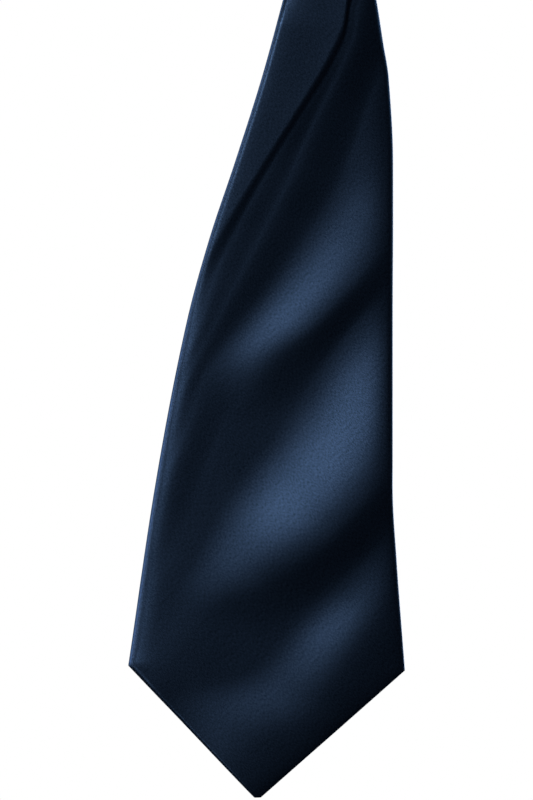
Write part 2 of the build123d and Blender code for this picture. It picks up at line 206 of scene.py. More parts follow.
def sheet_from_grid(name, columns, rows, place):
    """A grid whose points go where place(across, down) says, both from 0 to 1, in millimetres."""
    bpy.ops.object.select_all(action="DESELECT")
    bpy.ops.mesh.primitive_grid_add(x_subdivisions=columns, y_subdivisions=rows, size=1)
    cloth = bpy.context.object
    cloth.name = cloth.data.name = name
    mesh = cloth.data
    flat = np.zeros(len(mesh.vertices) * 3, np.float32)
    mesh.vertices.foreach_get("co", flat)
    flat = flat.reshape(-1, 3)
    column = np.rint((flat[:, 0] + 0.5) * columns).astype(int)
    row = np.rint((0.5 - flat[:, 1]) * rows).astype(int)
    spots = np.zeros((rows + 1, columns + 1, 3))
    for j in range(rows + 1):
        spots[j] = place(np.arange(columns + 1) / columns, j / rows)
    mesh.vertices.foreach_set("co", (spots[row, column] * MM).astype(np.float32).ravel())
    across = np.zeros((rows + 1, columns + 1))
    across[:, 1:] = np.cumsum(np.linalg.norm(np.diff(spots, axis=1), axis=2), axis=1)
    across -= across[:, -1:] / 2
    middle = columns // 2
    down = np.zeros(rows + 1)
    down[1:] = np.cumsum(np.linalg.norm(np.diff(spots[:, middle], axis=0), axis=1))
    corner = np.zeros(len(mesh.loops), np.int32)
    mesh.loops.foreach_get("vertex_index", corner)
    measure = np.stack([across[row[corner], column[corner]], down[row[corner]]], axis=1)
    mesh.uv_layers[0].data.foreach_set("uv", measure.astype(np.float32).ravel())
    mesh.shade_smooth()
    mesh.update()
    print(f"{name}: {columns} by {rows} squares, {down[-1]:.0f} mm long")
    return cloth


def thicken(cloth, thickness):
    """Gives a sheet its thickness in millimetres, inwards from the side that it was laid on."""
    select_only(cloth)
    solidify = cloth.modifiers.new("thickness", "SOLIDIFY")
    solidify.thickness = thickness * MM
    solidify.offset = -1
    bpy.ops.object.modifier_apply(modifier="thickness")


# %% [markdown]
# ## Smooth lines from a few points
#
# A maker marks a few points and draws an even line through them. This does the same, and its curve
# never swings past a point.


# %% Smooth lines
def smooth_through(points, at):
    """A smooth curve through (place, value) points, without overshoot."""
    places = np.array([p[0] for p in points], float)
    values = np.array([p[1] for p in points], float)
    slopes = np.diff(values) / np.diff(places)
    tangents = np.zeros(len(values))
    for i in range(1, len(values) - 1):
        before, after = slopes[i - 1], slopes[i]
        if before * after > 0:
            tangents[i] = 2 * before * after / (before + after)
    tangents[0], tangents[-1] = slopes[0], slopes[-1]
    at = np.clip(np.asarray(at, float), places[0], places[-1])
    index = np.clip(np.searchsorted(places, at) - 1, 0, len(slopes) - 1)
    span = places[index + 1] - places[index]
    t = (at - places[index]) / span
    first = (2 * t**3 - 3 * t**2 + 1) * values[index] + (t**3 - 2 * t**2 + t) * span * tangents[index]
    second = (3 * t**2 - 2 * t**3) * values[index + 1] + (t**3 - t**2) * span * tangents[index + 1]
    return first + second


# %% [markdown]
# ## Finishes
#
# Satin is smooth because its threads float over many others before they dip. It shines like soft
# metal, with its own colour in the shine, and the shine spreads wide. Up close it has a fine grain.
# One group of nodes makes the threads for every cloth, and each finish sets its own count and colours.


# %% Thread group
def wire(tree, kind, **inputs):
    """A node whose inputs are set, or joined to other nodes, by name or by number as i0, i1."""
    node = tree.nodes.new(kind)
    for key, value in inputs.items():
        socket = node.inputs[int(key[1:]) if key[1:].isdigit() else key]
        if isinstance(value, bpy.types.NodeSocket):
            tree.links.new(value, socket)
        else:
            socket.default_value = value
    return node


def thread_group():
    """Floating threads: a shade and a height, from the cloth's own measure in millimetres."""
    group = bpy.data.node_groups.new("floating_threads", "ShaderNodeTree")
    for name, kind in (("Measure", "Vector"), ("Threads", "Float"), ("Turn", "Float"), ("Stretch", "Float")):
        group.interface.new_socket(name, in_out="INPUT", socket_type="NodeSocket" + kind)
    for name in ("Shade", "Height"):
        group.interface.new_socket(name, in_out="OUTPUT", socket_type="NodeSocketFloat")
    entry = group.nodes.new("NodeGroupInput").outputs
    leave = group.nodes.new("NodeGroupOutput")
    spun = wire(group, "ShaderNodeVectorRotate", Vector=entry["Measure"], Angle=entry["Turn"])
    counted = wire(group, "ShaderNodeVectorMath", i0=spun.outputs[0])
    counted.operation = "SCALE"
    group.links.new(entry["Threads"], counted.inputs["Scale"])
    shape = wire(group, "ShaderNodeCombineXYZ", X=1.0, Y=entry["Stretch"], Z=1.0)
    longer = wire(group, "ShaderNodeVectorMath", i0=counted.outputs[0], i1=shape.outputs[0])
    longer.operation = "MULTIPLY"
    noise = "ShaderNodeTexNoise"
    floats = wire(group, noise, Vector=longer.outputs[0], Scale=1.0, Detail=2.0, Roughness=0.6)
    grit = wire(group, noise, Vector=counted.outputs[0], Scale=1.4, Detail=1.0)
    shade = wire(group, "ShaderNodeMath", i0=floats.outputs["Fac"], i1=grit.outputs["Fac"])
    half = wire(group, "ShaderNodeMath", i0=shade.outputs[0], i1=0.5)
    half.operation = "MULTIPLY"
    group.links.new(half.outputs[0], leave.inputs["Shade"])
    group.links.new(floats.outputs["Fac"], leave.inputs["Height"])
    return group


THREADS = thread_group()
print("floating threads:", len(THREADS.nodes), "nodes")


# %% Cloth finish
COOL_SHINE = (0.45, 0.65, 1.0, 1)
COOL_SHEEN = (0.35, 0.55, 1.0, 1)
GLOSS_CHANGE = 0.05
CLOUD_SCALE, CLOUD_CHANGE = 0.05, 0.05
DARK_UP_TO, LIGHT_FROM = 0.38, 0.62
THREAD_RELIEF = 0.0001


def cloth_finish(name, dark, light, shine, roughness, threads, stretch, turn, bump, sheen=0.04):
    """A woven finish. shine is how much it reflects like metal, threads is how many lie in a
    millimetre, a low stretch makes them float further, and turn is their lie in degrees."""
    paint = bpy.data.materials.new(name)
    paint.use_nodes = True
    tree = paint.node_tree
    shader = tree.nodes["Principled BSDF"]
    shader.inputs["Metallic"].default_value = shine
    shader.inputs["Specular Tint"].default_value = COOL_SHINE
    shader.inputs["Sheen Weight"].default_value = sheen
    shader.inputs["Sheen Roughness"].default_value = 0.35
    shader.inputs["Sheen Tint"].default_value = COOL_SHEEN
    measure = wire(tree, "ShaderNodeUVMap")
    weave = tree.nodes.new("ShaderNodeGroup")
    weave.node_tree = THREADS
    tree.links.new(measure.outputs[0], weave.inputs["Measure"])
    weave.inputs["Threads"].default_value = threads
    weave.inputs["Turn"].default_value = math.radians(turn)
    weave.inputs["Stretch"].default_value = stretch
    broad = wire(tree, "ShaderNodeTexNoise", Vector=measure.outputs[0], Scale=CLOUD_SCALE, Detail=2.0)
    cloudy = wire(
        tree, "ShaderNodeMapRange", Value=broad.outputs["Fac"], i3=-CLOUD_CHANGE, i4=CLOUD_CHANGE
    )
    total = wire(tree, "ShaderNodeMath", i0=weave.outputs["Shade"], i1=cloudy.outputs[0])
    ramp = wire(tree, "ShaderNodeValToRGB", Fac=total.outputs[0])
    for stop, position, colour in zip(ramp.color_ramp.elements, (DARK_UP_TO, LIGHT_FROM), (dark, light)):
        stop.position = position
        stop.color = (*colour, 1)
    tree.links.new(ramp.outputs["Color"], shader.inputs["Base Color"])
    rough, smooth = roughness + GLOSS_CHANGE, roughness - GLOSS_CHANGE
    gloss = wire(tree, "ShaderNodeMapRange", Value=weave.outputs["Shade"], i3=rough, i4=smooth)
    tree.links.new(gloss.outputs[0], shader.inputs["Roughness"])
    height = weave.outputs["Height"]
    raised = wire(tree, "ShaderNodeBump", Strength=bump, Distance=THREAD_RELIEF, Height=height)
    tree.links.new(raised.outputs["Normal"], shader.inputs["Normal"])
    print(f"{name}: about {threads} threads to a millimetre")
    return paint


NAVY_SATIN = cloth_finish(
    "navy_satin", dark=(0.008, 0.018, 0.037), light=(0.038, 0.069, 0.135),
    shine=0.86, roughness=0.39, threads=2.7, stretch=0.38, turn=45, bump=0.05,
)
LINING = cloth_finish(
    "tipping_twill", dark=(0.006, 0.010, 0.020), light=(0.016, 0.025, 0.046),
    shine=0.3, roughness=0.5, threads=3.4, stretch=0.12, turn=20, bump=0.3,
)
WOOL = cloth_finish(
    "wool_interlining", dark=(0.55, 0.52, 0.45), light=(0.78, 0.75, 0.68),
    shine=0.0, roughness=0.9, threads=1.6, stretch=0.7, turn=10, bump=0.7, sheen=0.3,
)
THREAD = cloth_finish(
    "sewing_thread", dark=(0.012, 0.020, 0.045), light=(0.035, 0.055, 0.11),
    shine=0.25, roughness=0.5, threads=6.0, stretch=0.3, turn=60, bump=0.5,
)
RIBBON = cloth_finish(
    "label_ribbon", dark=(0.30, 0.31, 0.33), light=(0.50, 0.51, 0.53),
    shine=0.1, roughness=0.55, threads=4.0, stretch=0.06, turn=90, bump=0.6,
)


# %% Finishing a piece
def finish_piece(piece, paint, *nodes):
    """Gives a piece its finish in that finish's slot, and hides the nodes that it stands for."""
    piece.data.materials.clear()
    piece.data.materials.append(paint)
    if nodes:
        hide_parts(*nodes)


def finish_folded(piece, paint, flat, share, rests_on, *nodes):
    """Finishes a folded sheet. Its flat size and what it rests on are not used."""
    finish_piece(piece, paint, *nodes)


# %% [markdown]
# ## The blade's outline
#
# The blade leaves the knot pleated to a third of its width and opens out to its full width at the
# corners. Each edge is a short list of (depth below the knot, sideways place). Below the corners the
# two edges run straight to the point.

# %% Outline
LEFT_EDGE = [
    (-14, -10.5), (4.6, -15.1), (30, -22.0), (57, -30.6),
    (83, -39.3), (109, -46.4), (161, -56.5), (221, -65.5),
]
RIGHT_EDGE = [
    (-14, 11), (4.6, 15.2), (18, 17.4), (30, 19.3), (57, 20.7), (161, 20.4), (187, 21.8), (222.5, 24.5),
]
TIP_CLEAR, TIP_SIDE = 0.3, -23.4
TIP = (TIP_DEPTH - TIP_CLEAR, TIP_SIDE)
TIP_BLUNT = 1.1
POINT_START = 0.8


def outline(down):
    """Left and right edge points, as (sideways, depth), for a share of the way down."""
    ends = []
    for edge, blunt in ((LEFT_EDGE, -TIP_BLUNT), (RIGHT_EDGE, TIP_BLUNT)):
        first, corner = edge[0][0], edge[-1][0]
        if down <= POINT_START:
            depth = first + (corner - first) * down / POINT_START
            ends.append((float(smooth_through(edge, depth)), depth))
        else:
            t = (down - POINT_START) / (1 - POINT_START)
            side = edge[-1][1] + (TIP[1] + blunt - edge[-1][1]) * t
            ends.append((side, corner + (TIP[0] - corner) * t))
    return ends


print(f"blade: {RIGHT_EDGE[-1][1] - LEFT_EDGE[-1][1]:.0f} mm wide at its corners")

# %% [markdown]
# ## The drape
#
# Folds run down from the upper right to the lower left. They are drawn as crest and valley lines in a
# turned measure: how far along the folds, and how far across them. Each line has a few points of
# (along, across, forward lift), and the cloth rises and falls smoothly from one line to the next.

# %% Folds
FOLD_TURN = math.radians(60)
FOLDS = {
    "left_rest": [
        (-30, -14, 5.6), (20, -14, 5.7), (60, -14, 4.5), (95, -14, 3.1), (120, -14, 2.9), (260, -14, 2.8),
    ],
    "flap": [
        (-30, 1, 4.9), (0, 7.2, 5.0), (13, 11.5, 5.1), (25, 12.2, 5.0),
        (45, 11.5, 4.4), (60, 10.6, 3.8), (95, 9, 2.3), (120, 8, 1.8), (260, 8, 1.6),
    ],
    "flap_foot": [
        (-30, 2, 3.1), (0, 8.0, 3.2), (13, 12.3, 3.3), (25, 13.0, 3.3),
        (45, 12.4, 3.1), (60, 12.2, 2.7), (95, 14, 1.6), (120, 19, 1.3), (260, 20, 1.5),
    ],
    "pleat": [
        (-30, 5, 2.9), (0, 11.2, 3.0), (13, 15.6, 3.0), (45, 18, 2.3),
        (60, 20, 2.0), (95, 22, 1.2), (120, 23, 1.1), (260, 28, 1.4),
    ],
    "deep_valley": [
        (-30, 20, 0.3), (20, 29, -0.5), (60, 35, -0.2), (96, 32, 0.1),
        (128, 28, 0.8), (150, 32, 0.7), (260, 38, 0.8),
    ],
    "ridge_a": [
        (-30, 38, -2.4), (20, 49, -1.7), (60, 58, 1.7), (96, 52, 2.6),
        (118, 44, 1.8), (140, 42, 0.2), (180, 47, 0.0), (260, 48, 0.2),
    ],
    "valley_b": [
        (-30, 60, -1.8), (20, 65, -1.0), (60, 69, 0.1), (96, 61, 0.3),
        (128, 58, 0.1), (160, 54, 0.0), (260, 56, 0.1),
    ],
    "ridge_b": [
        (-30, 92, 0), (60, 92, 1.4), (96, 91, 4.2), (124, 95, 5.9),
        (154, 90, 5.6), (180, 78, 2.5), (200, 68, 0.4), (260, 62, 0.2),
    ],
    "valley_c": [
        (-30, 112, 0), (96, 109, 1.4), (128, 109, 2.2), (160, 102, 1.6),
        (182, 94, 0.6), (204, 89, 0.3), (226, 74, 0.0), (260, 72, 0.0),
    ],
    "ridge_c": [
        (-30, 126, 0), (128, 122, 1.9), (160, 118, 2.8), (184, 115, 3.4),
        (206, 114, 2.8), (226, 104, 2.3), (260, 100, 2.0),
    ],
    "right_rest": [(-30, 150, 0), (128, 146, 0.8), (200, 140, 0.5), (260, 140, 0.5)],
}
print("fold lines:", list(FOLDS))

# %% [markdown]
# ## Rolled edges, and the squeeze at the knot
#
# The folded edges of the cloth roll back over the filling, by (depth, roll) on the left and by one
# amount on the right, and fade over a short reach. The knot presses the folds flat where they enter it.

# %% Lift of the cloth
LEFT_ROLL = [
    (-14, 2.4), (-2, 2.0), (12, 0.5), (70, 0.6), (120, 1.8), (170, 2.4), (212, 2.4), (228, 0.9), (264, 0.0),
]
RIGHT_ROLL = 1.2
LEFT_REACH, RIGHT_REACH = 2.7, 3.0
MOUTH_SQUEEZE = [(-14, 0.35), (-6, 0.5), (2, 0.78), (14, 1.0), (30, 1.0)]


def edge_at(edge, depth):
    """The sideways place of one edge at a level depth, down to the point."""
    corner, corner_side = edge[-1]
    to_tip = np.clip((depth - corner) / (TIP[0] - corner), 0, 1)
    return smooth_through(edge, depth) + (TIP[1] - corner_side) * to_tip


def lift(side, depth):
    """How far forward the blade stands, in millimetres, at a sideways place and a depth."""
    side, depth = np.asarray(side, float), np.asarray(depth, float)
    along = -math.cos(FOLD_TURN) * side + math.sin(FOLD_TURN) * depth
    across = math.sin(FOLD_TURN) * side + math.cos(FOLD_TURN) * depth
    places = [smooth_through([(p[0], p[1]) for p in line], along) for line in FOLDS.values()]
    heights = [smooth_through([(p[0], p[2]) for p in line], along) for line in FOLDS.values()]
    total = np.array(heights[0], float) * np.ones_like(across)
    for k in range(1, len(places)):
        t = np.clip((across - places[k - 1]) / (places[k] - places[k - 1]), 0, 1)
        ease = t * t * (3 - 2 * t)
        total = total + (heights[k] - heights[k - 1]) * ease
    from_left = np.maximum(side - edge_at(LEFT_EDGE, depth), 0)
    from_right = np.maximum(edge_at(RIGHT_EDGE, depth) - side, 0)
    left_roll = smooth_through(LEFT_ROLL, depth) * np.exp(-from_left / LEFT_REACH)
    total = total - left_roll - RIGHT_ROLL * np.exp(-from_right / RIGHT_REACH)
    return total * smooth_through(MOUTH_SQUEEZE, depth)


print(f"a broad fold stands {float(lift(-10.0, 150.0)):.1f} mm forward")

# %% [markdown]
# ## Folded cloth
#
# A tie is one piece of cloth folded round its filling: over the front, round both long edges, and
# over the back to a seam, where the two sides are turned under and meet. One section serves the
# blade, the tail, the neckband and the bands in the knot. It is a list of (distance from the left
# edge, distance behind the middle), from one turned edge, round the front, to the other.


# %% Folded section
CLOTH = 0.35
TURN_UNDER = 4.0
TURN_GAP, TURN_RADIUS = 0.9, 0.6
EDGE_GAP = 0.05
BACK_COLUMNS, FOLD_COLUMNS = 14, 8


def half_section(width, reach, stack, front_columns):
    """From the turned edge on the back, round the left fold, to the middle of the front."""
    r = min(stack / 2, width / 2.2)
    tuck = min(TURN_UNDER, reach * 0.5)
    turn = reach - TURN_RADIUS
    inner = [(reach - tuck, r - TURN_GAP), (turn, r - TURN_GAP), (reach - EDGE_GAP, r - TURN_GAP / 2)]
    back = [(turn + (r - turn) * k / BACK_COLUMNS, r) for k in range(BACK_COLUMNS)]
    bend = [math.pi * k / FOLD_COLUMNS for k in range(FOLD_COLUMNS)]
    fold = [(r - r * math.sin(a), r * math.cos(a)) for a in bend]
    front = [(r + (width - 2 * r) * k / front_columns, -r) for k in range(front_columns // 2)]
    return inner + back + fold + front


def folded_section(width, left_reach, right_reach, stack, front_columns):
    """The whole section. Each reach is how far that side comes in over the back."""
    left = half_section(width, left_reach, stack, front_columns)
    right = half_section(width, right_reach, stack, front_columns)
    return np.array(left + [(width / 2, -stack / 2)] + [(width - x, n) for x, n in reversed(right)])


def section_columns(front_columns):
    return len(folded_section(40, 20, 20, 3, front_columns)) - 1


print("columns round a section with 28 across its front:", section_columns(28))

# %% [markdown]
# ## The blade shell
#
# The shell follows the outline and the drape. Down to the bar tack its two sides meet on the blade's
# leaning axis. Below it they part, and run on as a narrow hem round the point.

# %% Blade shell
STACK = 3.2
TACK_DEPTH = 163.0
HEM, CORNER_HEM = 17.0, 14.0
HEM_TURN = 0.03
BLADE_COLUMNS, BLADE_ROWS = 84, 190
SEAM_MARGIN = 0.3
LEAN_RUN = -UP_AXIS[0] / UP_AXIS[2]


def blade_spot(side, depth, backward):
    """The place of a point of the blade, in millimetres."""
    y = BLADE_MIDDLE_Y - lift(side, depth) + backward
    return np.stack([side + 0 * y, y, MOUTH_Z - depth + 0 * y], axis=-1)


def window_reach(seam, depth, down, corner):
    """How far a side reaches in over the back: to the seam, and below the tack only to the hem."""
    if depth <= TACK_DEPTH:
        return seam
    if down <= POINT_START:
        t = (depth - TACK_DEPTH) / (corner - TACK_DEPTH)
        return seam + (CORNER_HEM - seam) * t
    t = min(1.0, (down - POINT_START) / HEM_TURN)
    return min(seam, CORNER_HEM + (HEM - CORNER_HEM) * t)


def shell_place(_across, down):
    (left, left_depth), (right, right_depth) = outline(down)
    width = right - left
    middle_depth = (left_depth + right_depth) / 2
    seam = min(max(LEAN_RUN * middle_depth - left, SEAM_MARGIN * width), (1 - SEAM_MARGIN) * width)
    corner = LEFT_EDGE[-1][0]
    left_reach = window_reach(seam, middle_depth, down, corner)
    right_reach = window_reach(width - seam, middle_depth, down, corner)
    if down > POINT_START:
        left_reach, right_reach = min(left_reach, width / 2), min(right_reach, width / 2)
    section = folded_section(width, left_reach, right_reach, STACK, BLADE_COLUMNS)
    share = section[:, 0] / width
    return blade_spot(left + share * width, left_depth + share * (right_depth - left_depth), section[:, 1])


def bend_at_mouth(piece):
    """Bakes the piece's placement into its mesh."""
    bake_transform(piece)


blade_shell = sheet_from_grid("blade_shell_satin", section_columns(BLADE_COLUMNS), BLADE_ROWS, shell_place)
thicken(blade_shell, CLOTH)
shell_nodes = ("blade_shell", "throat_shell")
finish_folded(blade_shell, NAVY_SATIN, (210, 290), 0.62, "blade_interlining_wool", *shell_nodes)
bend_at_mouth(blade_shell)
print("blade shell:", len(blade_shell.data.polygons), "faces")

# %% [markdown]
# ## Inside the blade
#
# A woollen interlining gives the blade its body, and springs it back after it is knotted. Behind it,
# a thin twill called the tipping lines the window that the shell leaves open on the back.

# %% Blade interlining and tipping
BLADE_WOOL, TWILL = 0.9, 0.2
MOST_INSET = 0.45


def inner_place(top, bottom, inset, backward):
    """A sheet inside the blade, between two shares of the way down, drawn in from the outline."""
    def place(across, down):
        (left, left_depth), (right, right_depth) = outline(top + (bottom - top) * down)
        inner = min(inset, MOST_INSET * (right - left))
        side = left + inner + across * (right - left - 2 * inner)
        depth = left_depth + (side - left) / (right - left) * (right_depth - left_depth)
        return blade_spot(side, depth, backward)
    return place


wool_place = inner_place(top=0.02, bottom=0.985, inset=2.1, backward=-0.75)
blade_wool = sheet_from_grid("blade_interlining_wool", 56, 120, wool_place)
thicken(blade_wool, BLADE_WOOL)
wool_nodes = ("blade_interlining", "throat_interlining")
finish_folded(blade_wool, WOOL, (86, 280), 0.7, "blade_tipping_twill", *wool_nodes)
bend_at_mouth(blade_wool)
tipping_place = inner_place(top=0.58, bottom=0.972, inset=2.6, backward=0.62)
tipping = sheet_from_grid("blade_tipping_twill", 56, 64, tipping_place)
tipping.data.flip_normals()
thicken(tipping, TWILL)
finish_folded(tipping, LINING, (86, 122), 0.62, "blade_interlining_wool", "blade_tipping")
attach(tipping, "front_blade")


# %% [markdown]
# ## Sewing
#
# Each stitch is a short thread that rises out of the cloth and dips back in. It is modelled once and
# copied along each seam. A bar tack is many close stitches over each other, which stops the back
# seam from opening.


# %% Stitches
STITCH_FLAT = 0.8
STITCH_ARCH = 0.7
STITCH_PROUD = 0.6


def one_stitch(length, width):
    """A stitch along X, its top up Z, with both ends dipped in the cloth."""
    bpy.ops.object.select_all(action="DESELECT")
    bpy.ops.mesh.primitive_uv_sphere_add(segments=8, ring_count=7, radius=0.5)
    stitch = bpy.context.object
    for vertex in stitch.data.vertices:
        x, y, z = vertex.co
        arch = width * STITCH_ARCH * (STITCH_PROUD - 4 * z * z)
        vertex.co = Vector((z * length, x * width, y * width * STITCH_FLAT + arch)) * MM
    return stitch


def sew(name, spots, length=2.6, width=0.42, nodes=()):
    """Stitches at (middle, direction, outward) places, in millimetres, joined in one piece."""
    first = one_stitch(length, width)
    copies = []
    for middle, direction, outward in spots:
        copy = first.copy()
        copy.data = first.data.copy()
        bpy.context.collection.objects.link(copy)
        x = Vector(direction).normalized()
        z = Vector(outward)
        z = (z - x * z.dot(x)).normalized()
        y = z.cross(x)
        for vertex in copy.data.vertices:
            local = vertex.co.copy()
            vertex.co = x * local.x + y * local.y + z * local.z + Vector(middle) * MM
        copies.append(copy)
    bpy.data.objects.remove(first)
    select_only(*copies)
    bpy.ops.object.join()
    seam = bpy.context.object
    seam.name = seam.data.name = name
    seam.data.shade_smooth()
    print(f"{name}: {len(copies)} stitches")
    finish_piece(seam, THREAD, *nodes)
    return seam


def axis_point(across, depth):
    """(sideways, depth below the mouth) of a place that is measured on the leaning axis."""
    return across * UP_AXIS[2] - depth * UP_AXIS[0], across * UP_AXIS[0] + depth * UP_AXIS[2]


def on_blade_back(across, depth, proud=0.0):
    """A place on the back of the blade, measured on its axis."""
    side, level = axis_point(across, depth)
    return blade_spot(side, level, STACK / 2 + proud)


# %% Sewing on the blade
BACKWARD = (0, 1, 0)
ACROSS = (UP_AXIS[2], 0, -UP_AXIS[0])
SLANT = (UP_AXIS[2], 0, -UP_AXIS[0] + 0.9)
NEARLY_ALONG = (0.25, 0, 1)
LABEL_DEPTH = 120.0
LABEL_SIZE = (18.0, 14.0)
LABEL_ROOM = LABEL_SIZE[1] / 2 + 1.5
SEAM_TOP, STITCH_PITCH = 16, 6
TACK_HALF, TACK_PITCH = 3.6, 0.45
seam_depths = [SEAM_TOP + STITCH_PITCH * k for k in range(24)]
seam_spots = [
    (on_blade_back(0, depth), SLANT, BACKWARD)
    for depth in seam_depths
    if abs(depth - LABEL_DEPTH) > LABEL_ROOM
]
blade_stitches = sew("blade_slip_stitches", seam_spots, nodes=["blade_slip_stitch"])
bend_at_mouth(blade_stitches)

tack_spots = [
    (on_blade_back(-TACK_HALF + TACK_PITCH * k, TACK_DEPTH), NEARLY_ALONG, BACKWARD)
    for k in range(17)
]
tack_spots += [
    (on_blade_back(across, TACK_DEPTH + above, 0.15), ACROSS, BACKWARD)
    for across in (-2.4, 0, 2.4)
    for above in (-0.5, 0.5)
]
blade_tack = sew("blade_bar_tack_thread", tack_spots, 2.7, 0.5, ["blade_bar_tack"])
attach(blade_tack, "front_blade")

# %% [markdown]
# ## Label
#
# A small blank ribbon says what a tie is made of. It is folded under at both ends, sewn down there,
# and stands a little proud between.

# %% Fibre label
LABEL_FOLD = 0.06
LABEL_PROUD, LABEL_BELLY, LABEL_RIPPLE = 0.3, 0.45, 0.12
LABEL_THICKNESS = 0.18
LABEL_STITCHES, LABEL_PITCH, LABEL_FIRST = 6, 2.25, -5.6
LABEL_MARGIN = 0.8


def label_place(across, down):
    x = (across - 0.5) * LABEL_SIZE[0]
    fold = np.clip((np.abs(across - 0.5) - 0.5 + LABEL_FOLD) / LABEL_FOLD, 0, 1)
    belly = LABEL_BELLY * np.sin(math.pi * np.clip(across, 0, 1))
    ripple = LABEL_RIPPLE * np.sin(9 * down + 5 * across)
    depth = LABEL_DEPTH + (down - 0.5) * LABEL_SIZE[1]
    return on_blade_back(x, depth, LABEL_PROUD + (belly + ripple) * (1 - fold))


label = sheet_from_grid("fibre_label_ribbon", 30, 20, label_place)
label.data.flip_normals()
thicken(label, LABEL_THICKNESS)
finish_piece(label, RIBBON, "fibre_label")
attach(label, "front_blade")
label_spots = [
    (
        on_blade_back(
            end * (LABEL_SIZE[0] / 2 - LABEL_MARGIN), LABEL_DEPTH + LABEL_FIRST + LABEL_PITCH * k, 0.35
        ),
        (0, 0, 1),
        BACKWARD,
    )
    for end in (-1, 1)
    for k in range(LABEL_STITCHES)
]
label_stitches = sew("label_stitches", label_spots, 1.5, 0.35)
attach(label_stitches, "front_blade")

# %% [markdown]
# ## Bands of folded cloth
#
# The neckband, the knot and the tail are all bands of the same folded cloth. A band follows stations:
# each has a middle, a direction across the band, an outward direction, a width and a thickness. The
# seam of the fold lies on the inner side, and the ends may be cut on the slant.


# %% Bands
def stations_through(points, count):
    """Evenly many stations on smooth curves through given ones, each a flat list of numbers."""
    keys = np.linspace(0, 1, len(points))
    at = np.linspace(0, 1, count)
    columns = [smooth_through(list(zip(keys, values)), at) for values in np.array(points, float).T]
    return np.array(columns).T


def unit(v):
    return v / np.linalg.norm(v, axis=-1, keepdims=True)


def folded_band(name, stations, columns=28, slant=(0.0, 0.0), ripple=0.0, crown=0.0):
    """Stations are rows of middle (3), across (3), outward (3), width and thickness, in millimetres.
    A slanted end leans by slant for each millimetre up the band, and needs spare stations past it."""
    middle, across, outward = stations[:, 0:3], unit(stations[:, 3:6]), stations[:, 6:9]
    outward = unit(outward - across * np.sum(outward * across, axis=1, keepdims=True))
    along = np.gradient(middle, axis=0)
    spacing = np.linalg.norm(along, axis=1).mean()
    flip = np.sign(np.sum(np.cross(along, across) * outward, axis=1).mean())
    spare = [int(math.ceil(abs(lean) * stations[0, 9] / 2 / spacing)) for lean in slant]
    steps = len(stations) - 1 - sum(spare)

    def place(_share, down):
        row = spare[0] + int(round(down * steps))
        width, stack = stations[row, 9], stations[row, 10]
        section = folded_section(width, width / 2, width / 2, stack, columns)
        level = (section[:, 0] - width / 2) * flip
        lean = slant[0] * max(0, 1 - 3 * down) + slant[1] * max(0, 3 * down - 2)
        index = np.clip(row + level * lean / spacing, 0, len(stations) - 1)
        low = np.minimum(index.astype(int), len(stations) - 2)
        part = (index - low)[:, None]
        lines = (middle, across, outward)
        centre, side, out = (line[low] * (1 - part) + line[low + 1] * part for line in lines)
        wave = ripple * np.sin(0.35 * index + 0.16 * level) * np.cos(0.21 * index - 0.1 * level)
        outside = wave - crown * level**2 - section[:, 1]
        return centre + unit(side) * level[:, None] + unit(out) * outside[:, None]

    band = sheet_from_grid(name, section_columns(columns), steps, place)
    thicken(band, CLOTH)
    return band


# %% [markdown]
# ## The neckband
#
# The loop is an ellipse that is higher at the nape. Three lengths of cloth make it, joined on the
# slant, because cloth is rarely wide enough for a whole tie. Near the knot each side is squeezed
# narrower, turns down and goes in at the knot's top.

# %% Neck loop
LOOP_HALF_WIDTH, LOOP_HALF_DEPTH = 60.0, 68.0
LOOP_TILT = math.radians(20)
BAND_HEIGHT, BAND_STACK = 33.5, 3.5
PIECING, STRAND = 118.0, 45.0
BIAS = 0.55
SPARE_ANGLE = 9.5
COLLAR_LEAN = 0.09
LOOP_UP = np.array([0, -math.sin(LOOP_TILT), math.cos(LOOP_TILT)])


def loop_station(angle, width=BAND_HEIGHT, stack=BAND_STACK):
    """A station on the neck loop, at an angle in degrees from the front."""
    turn = math.radians(angle)
    x, depth = LOOP_HALF_WIDTH * math.sin(turn), -LOOP_HALF_DEPTH * math.cos(turn)
    middle = [x, depth * math.cos(LOOP_TILT), depth * math.sin(LOOP_TILT)]
    out = [LOOP_HALF_DEPTH * math.sin(turn), -LOOP_HALF_WIDTH * math.cos(turn) * math.cos(LOOP_TILT)]
    out.append(-LOOP_HALF_WIDTH * math.cos(turn) * math.sin(LOOP_TILT))
    lean = LOOP_UP - COLLAR_LEAN * unit(np.array(out))
    return [*middle, *lean, *out, width, stack]


print(f"collar: {2 * (LOOP_HALF_WIDTH - BAND_STACK / 2):.1f} mm wide inside")


# %% The two sides, down into the knot
RIPPLE = 0.12
BEND_ANGLE = 50
STRAND_KEYS = [
    [33.5, -55.5, -18.6, -0.10, -0.26, 0.96, 0.55, -0.80, -0.2, 29.5, 3.5],
    [25.0, -64.5, -21.0, -0.27, -0.16, 0.95, 0.42, -0.88, -0.1, 24.5, 3.4],
    [17.5, -71.0, -25.0, -0.52, -0.08, 0.85, 0.30, -0.95, 0.0, 20.5, 3.2],
    [11.5, -75.0, -31.5, -0.78, 0.0, 0.62, 0.18, -0.98, 0.1, 17, 3.0],
    [7.5, -77.0, -38.5, -0.90, 0.0, 0.42, 0.10, -1.0, 0.1, 15, 2.8],
    [6.0, -78.0, -43.0, -0.94, 0.0, 0.34, 0.08, -1.0, 0.1, 14, 2.6],
]


